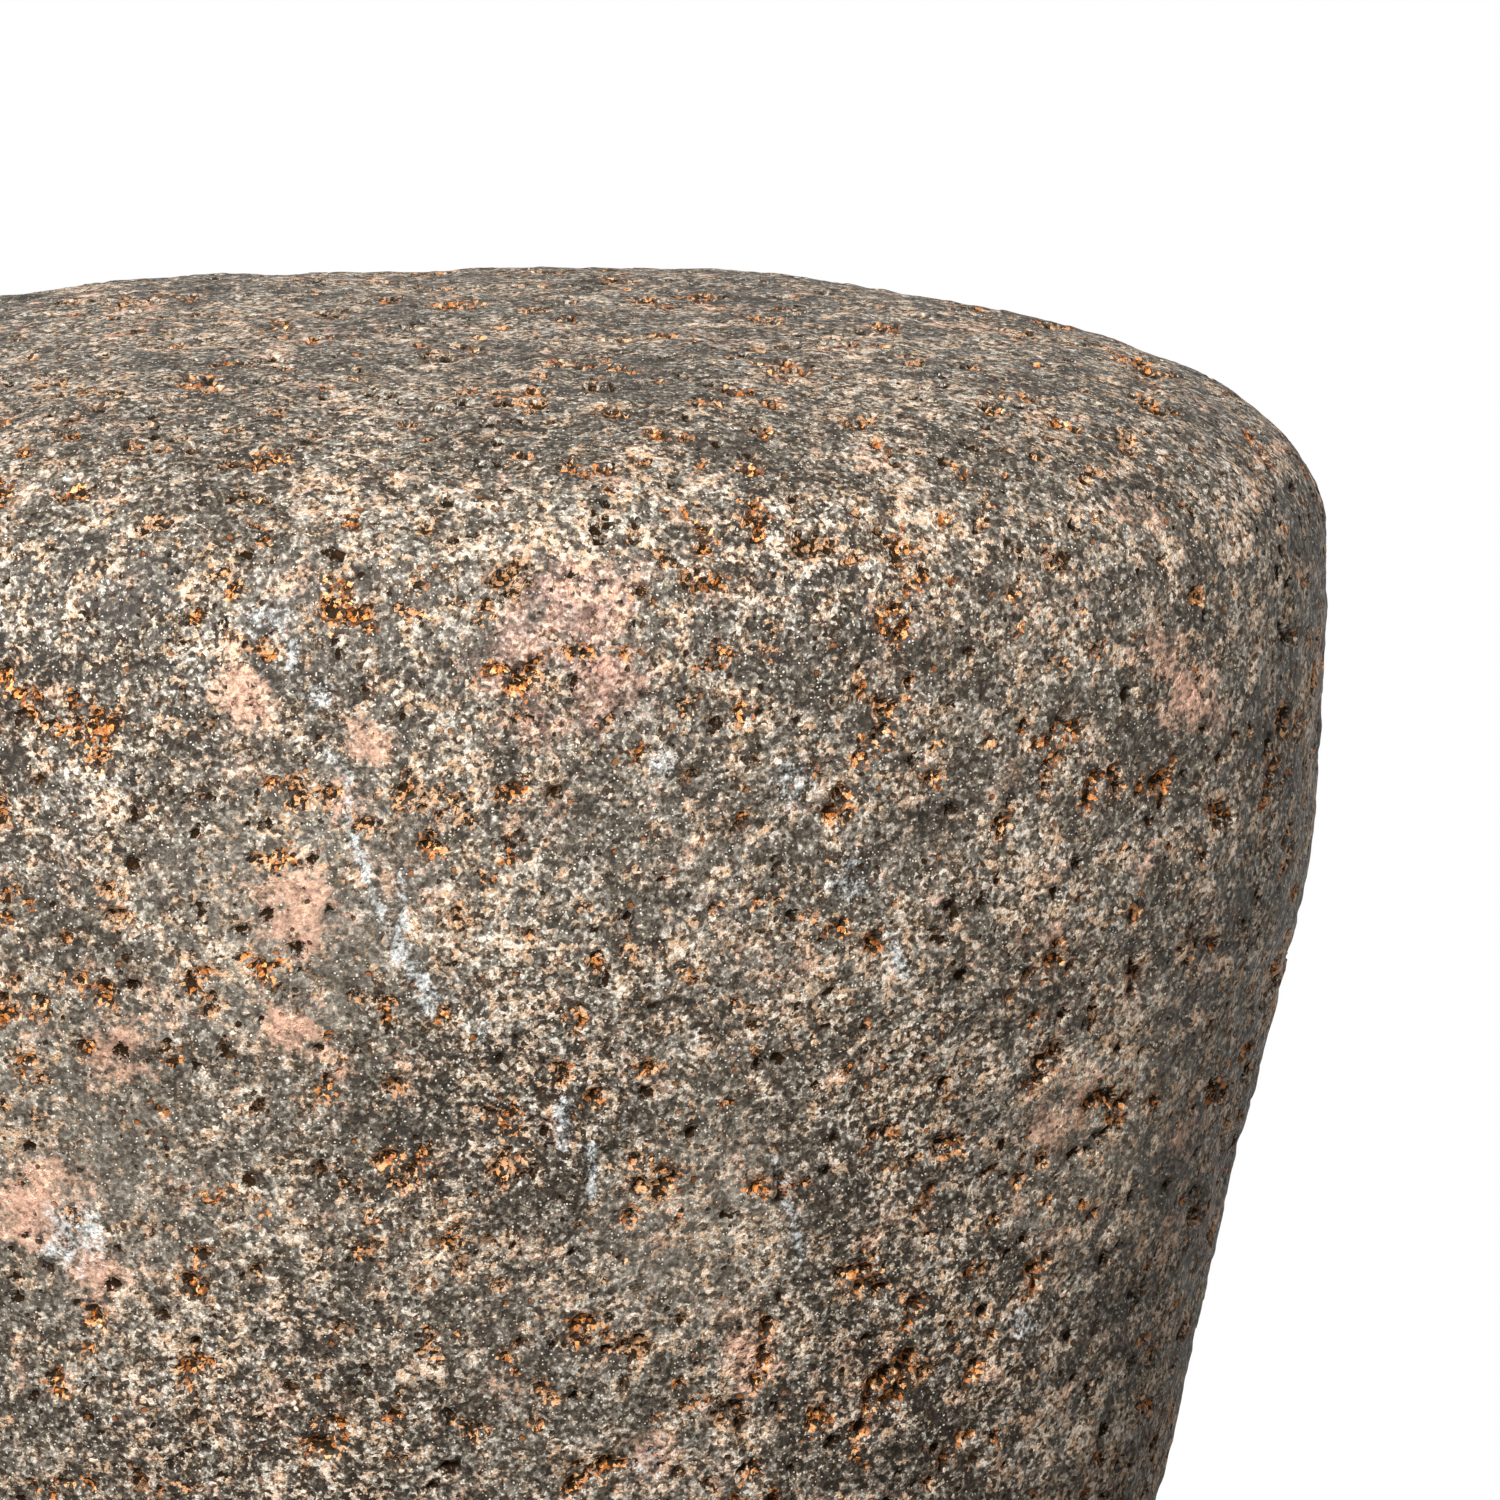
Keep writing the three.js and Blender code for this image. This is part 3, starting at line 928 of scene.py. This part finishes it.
class Stone(Graph):
    """Vesicular basalt: a smooth dark ground, warm crumbly areas, pale grains and rusty pits, with
    painted shade in pits and gaps.
    """

    def __init__(self, name, grain_size):
        super().__init__(name)
        self.grain_size = grain_size
        self.fine = 1 / grain_size
        self.place = self.place_mm()
        self.loose = self.warp(self.place, self.fine * 0.7, grain_size * 0.9)
        self.speck = self.field((0.0, 0.0, 0.0), 1.0, 3.0, 0.7)
        self.clump = self.field((3.0, 17.0, 8.0), 0.21, 5.0, 0.68)
        self.patch = self.field((5.0, 50.0, 9.0), 0.04, 3.0, 0.55)
        self.crumb = self.field((2.0, 71.0, 33.0), 0.95, 2.0, 0.6)
        self.chip = self.field((44.0, 6.0, 61.0), 0.8, 3.0, 0.65)
        self.drift = self.field((90.0, 3.0, 41.0), 0.24, 5.0, 0.72)
        self.earth = self.field((12.0, 12.0, 70.0), 0.075, 5.0, 0.7)
        _, self.grain, self.other = self.cells(self.loose, self.fine * 1.05)

    def field(self, offset, rate, detail, roughness):
        """Noise with `rate` features to a grain, read at its own place so that no two are alike."""
        return self.noise(self.shift(self.place, offset), self.fine * rate, detail, roughness)

    def paint(self, colour, share, strength, over):
        """Another colour laid over part of the surface."""
        return self.mix(self.times(share, strength), colour, over)

    def warmth(self):
        """Where the stone is warm and crumbly, 0 to 1."""
        crumbly = self.add(self.drift, self.centred(self.clump, 0.35))
        return self.step(self.add(crumbly, self.centred(self.patch, 0.3)), 0.46, 0.6)

    def tone(self, warmth, marks):
        """How pale the stone is, about 0 to 1, with painted shade and light where the pestle is marked.
        """
        tone = self.centred(self.speck, 2.0, TONE_MIDDLE)
        for part, gain in ((self.clump, 1.5), (self.grain, 0.62), (self.patch, 0.7)):
            tone = self.add(tone, self.centred(part, gain))
        contrast = self.scaled(warmth, 0.4, 0.82)
        # Painted shade and light: the shade attribute darkens the tone and raises its contrast as grazing
        # light would, lightens and flattens it where lit, and also holds darker and paler patches of
        # stone.
        if marks:
            shade = self.attribute("shade")
            tone = self.scaled(shade, -0.12, tone)
            contrast = self.scaled(shade, 0.35, contrast)
        tone = self.scaled(self.math("SUBTRACT", tone, TONE_MIDDLE), contrast, TONE_MIDDLE)
        return self.scaled(warmth, 0.05, tone)

    def ground(self, tone, warmth):
        """The colour of clean stone: cool ground, golden grains with painted shade between them where
        warm, pale dots.
        """
        golden = self.times(self.step(self.other, 0.55, 0.7), self.step(tone, 0.35, 0.6))
        warm = self.paint(self.ramp(tone, WARM_STOPS), golden, 0.65, GOLDEN)
        # Painted shade in the gaps between warm grains.
        gap_shade = self.add(self.centred(self.chip, 2.0), self.centred(self.grain, -0.5))
        warm = self.paint(warm, self.step(gap_shade, 0.16, 0.36), 0.85, GAP_SHADE)
        colour = self.mix(warmth, self.ramp(tone, COOL_STOPS), warm)
        away, size, _ = self.cells(self.loose, self.fine * 1.7)
        glint = self.times(self.step(size, 0.85, 0.9), self.step(away, 0.4, 0.24))
        return self.paint(colour, glint, 0.78, GLINT)

    def soil(self, colour, shade, marks):
        """Peach and pink stains of old food, lighter and darker with the grains."""
        soil = self.add(self.centred(self.crumb, 0.5), self.centred(self.clump, 0.5))
        soil = self.add(self.earth, soil)
        if marks:
            soil = self.scaled(self.attribute("peach"), 0.24, soil)
        colour = self.paint(colour, self.step(soil, 0.575, 0.78), 0.72, self.tinted(PEACH, shade))
        if marks:
            pink = self.add(self.times(self.attribute("pink"), 0.4), self.centred(soil, 1.3))
            colour = self.paint(colour, self.step(pink, 0.1, 0.62), 0.7, self.tinted(PINK, shade))
        return colour

    def crumb_colour(self):
        """Rusty crumbs, sandier in places, with painted shade in the gaps between them."""
        colour = self.ramp(self.add(self.grain, self.centred(self.speck, 0.6)), CRUMB_STOPS)
        sandy = self.add(self.earth, self.centred(self.attribute("rust"), 0.25))
        colour = self.paint(colour, self.step(sandy, 0.56, 0.44), 0.65, SAND)
        # Painted shade in the gaps between crumbs.
        solid = self.step(self.add(self.other, self.centred(self.speck, 0.8)), 0.49, 0.6)
        return self.mix(solid, CRUMB_GAP_SHADE, colour)

    def pits(self, colour, shade):
        """Carved pits: a stained rim, painted shade in the hole, and rusty crumbs. Also returns the
        hole's share.
        """
        pit, rust, rim = (self.attribute(name) for name in ("pit", "rust", "rim"))
        halo = self.add(self.times(rim, 0.55), self.centred(self.chip, 1.6))
        halo = self.times(self.step(halo, 0.25, 0.7), self.step(rust, 0.15, 0.5))
        colour = self.paint(colour, halo, 0.75, self.tinted(PEACH, shade))
        # Painted shade in the hole, deepest towards its middle.
        hole = self.step(self.add(pit, self.centred(self.crumb, 2.6)), 0.3, 0.7)
        hole = self.times(hole, self.step(pit, 0.02, 0.2))
        colour = self.mix(hole, colour, HOLE_SHADE)
        rusty = self.add(self.times(rim, 0.6), self.centred(self.chip, 2.4))
        rusty = self.times(self.step(rusty, 0.33, 0.52), self.step(rust, 0.1, 0.5))
        return self.paint(colour, rusty, 0.95, self.crumb_colour()), hole

    def pricks(self, colour):
        """Pinprick pits, too small to carve, painted in as dark shade, and rusty in some of them. Also
        returns their share.
        """
        away, size, rust = self.cells(self.loose, self.fine * 0.36)
        reach = self.math("SUBTRACT", self.scaled(size, 0.3, -0.06), away)
        share = self.step(self.add(reach, self.centred(self.crumb, 0.25)), -0.02, 0.05)
        # Painted shade in the pinpricks, with rust in some.
        inside = self.mix(self.step(rust, 0.6, 0.7), HOLE_SHADE, PRICK_RUST)
        return self.paint(colour, share, 0.85, inside), share

    def chalk(self, colour, shade):
        """Pale scratches and spots, broken up by the grains."""
        white = self.attribute("white")
        chalk = self.add(self.times(white, 0.65), self.centred(self.speck, 2.4))
        chalk = self.add(chalk, self.centred(self.clump, 2.6))
        chalk = self.times(self.step(chalk, 0.2, 1.0), self.step(white, 0.02, 0.6))
        return self.paint(colour, chalk, 0.8, self.tinted(CHALK, shade))

    def wear(self, colour):
        """The hollow's worn stone, a little paler."""
        share = self.times(self.attribute("worn"), 0.35)
        return self.mix(share, colour, WORN_TINT, "MULTIPLY")

    def relief(self, warmth, hole, prick):
        """Grains too small to carve, rougher where the stone is crumbly."""
        height = self.add(self.centred(self.speck, 1.6), self.centred(self.grain, 0.5))
        height = self.add(height, self.centred(self.clump, 2.2))
        height = self.times(height, self.scaled(warmth, 0.65, 0.4))
        height = self.math("SUBTRACT", height, self.times(prick, 0.9))
        height = self.math("SUBTRACT", height, self.times(hole, 0.8))
        distance = BUMP_SHARE * self.grain_size * MM
        bump = self.node("ShaderNodeBump", None, Strength=1.0, Distance=distance, Height=height)
        return bump.outputs[0]


def stone_material(name, grain_size, marks):
    """One stone, with the pestle's food stains, scratches and painted shade and light, or with the
    mortar's wear.
    """
    stone = Stone(name, grain_size)
    warmth = stone.warmth()
    tone = stone.tone(warmth, marks)
    shade = stone.scaled(tone, 1.7, 0.12)
    colour = stone.soil(stone.ground(tone, warmth), shade, marks)
    colour, hole = stone.pits(colour, shade)
    colour, prick = stone.pricks(colour)
    colour = stone.chalk(colour, shade) if marks else stone.wear(colour)
    inputs = stone.shader.inputs
    stone.put(inputs["Base Color"], colour)
    stone.put(inputs["Roughness"], stone.step(warmth, 0.0, 1.0, COOL_ROUGHNESS, WARM_ROUGHNESS))
    specular = stone.step(stone.math("MAXIMUM", hole, prick), 0.0, 1.0, SHEEN_SPECULAR, HOLE_SPECULAR)
    stone.put(inputs["Specular IOR Level"], SHEEN_SPECULAR)
    stone.put(inputs["Specular IOR Level"], specular)
    stone.put(inputs["Normal"], stone.relief(warmth, hole, prick))
    return stone.material


# ---------------------------------------------------------------- stage

# Camera, light and floor, in metres, radians and watts.
CAMERA_ELEVATION = math.radians(2.5)
CAMERA_ROLL = 0.014
CAMERA_DISTANCE = 1.2
VIEW_WIDTH = 57.9 * MM
VIEW_RIGHT = 12.35 * MM
VIEW_DOWN = 6.8 * MM
LAMP_TOWARD = (-0.34, -0.84, 0.41)
LAMP_DISTANCE = 1.5
LAMP_SIZE = 0.3
LAMP_POWER = 91
FLOOR_REACH = 1.4
FLOOR_SIDES = 128
PESTLE_GRAIN_SIZE = 0.2
MORTAR_GRAIN_SIZE = 0.36


def make_camera():
    """Level with the head, a little above, close enough for it to fill the picture."""
    centre = pestle_frame() @ Vector((0, 0, WIDEST * MM))
    away = Vector((0, -math.cos(CAMERA_ELEVATION), math.sin(CAMERA_ELEVATION)))
    turn = away.to_track_quat("Z", "Y") @ Quaternion((0, 0, 1), -CAMERA_ROLL)
    aim = centre + turn @ Vector((VIEW_RIGHT, -VIEW_DOWN, 0))
    data = bpy.data.cameras.new("camera")
    data.lens = data.sensor_width * CAMERA_DISTANCE / VIEW_WIDTH
    data.clip_start, data.clip_end = 0.05, 20
    camera = bpy.data.objects.new("camera", data)
    camera.rotation_mode = "QUATERNION"
    camera.rotation_quaternion = turn
    camera.location = aim + away * CAMERA_DISTANCE
    bpy.context.scene.collection.objects.link(camera)
    bpy.context.scene.camera = camera


def make_light():
    """White surroundings and one soft lamp, high on the left and in front."""
    world = bpy.data.worlds.new("surroundings")
    world.use_nodes = True
    background = world.node_tree.nodes["Background"]
    background.inputs["Color"].default_value = (1, 1, 1, 1)
    background.inputs["Strength"].default_value = 1.0
    bpy.context.scene.world = world
    lamp = bpy.data.lights.new("key", "AREA")
    lamp.shape = "DISK"
    lamp.size = LAMP_SIZE
    lamp.energy = LAMP_POWER
    key = bpy.data.objects.new("key", lamp)
    low, high = CAD_BOUNDS
    target = Vector(((low.x + high.x) / 2, (low.y + high.y) / 2, high.z))
    toward = Vector(LAMP_TOWARD).normalized()
    key.location = target + toward * LAMP_DISTANCE
    key.rotation_mode = "QUATERNION"
    key.rotation_quaternion = toward.to_track_quat("Z", "Y")
    bpy.context.scene.collection.objects.link(key)


def make_floor():
    """A pale round floor under the feet, with a faint mottle."""
    low, high = CAD_BOUNDS
    turn = full_turn(FLOOR_SIDES)
    rim = np.stack([np.cos(turn), np.sin(turn), np.zeros(FLOOR_SIDES)], 1) * FLOOR_REACH
    rim += np.array([(low.x + high.x) / 2, (low.y + high.y) / 2, low.z])
    mesh = new_mesh("floor", rim, [list(range(FLOOR_SIDES))])
    g = Graph("floor_paint")
    mottle = g.noise(g.place_mm(), 0.02, 3.0)
    g.put(g.shader.inputs["Base Color"], g.mix(mottle, (0.78, 0.775, 0.765), (0.84, 0.835, 0.825)))
    g.put(g.shader.inputs["Roughness"], 0.9)
    mesh.materials.append(g.material)
    link("floor", mesh)


def main():
    bpy.context.scene.view_settings.view_transform = "Standard"
    pestle_stone = stone_material("tejolote_stone", PESTLE_GRAIN_SIZE, True)
    mortar_stone = stone_material("mortar_stone", MORTAR_GRAIN_SIZE, False)
    pestle = make_pestle(pestle_stone)
    mortar = make_mortar(mortar_stone)
    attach(pestle, "tejolote")
    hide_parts("tejolote")
    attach(mortar, "mortar")
    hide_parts("mortar")
    make_floor()
    make_light()
    make_camera()


main()
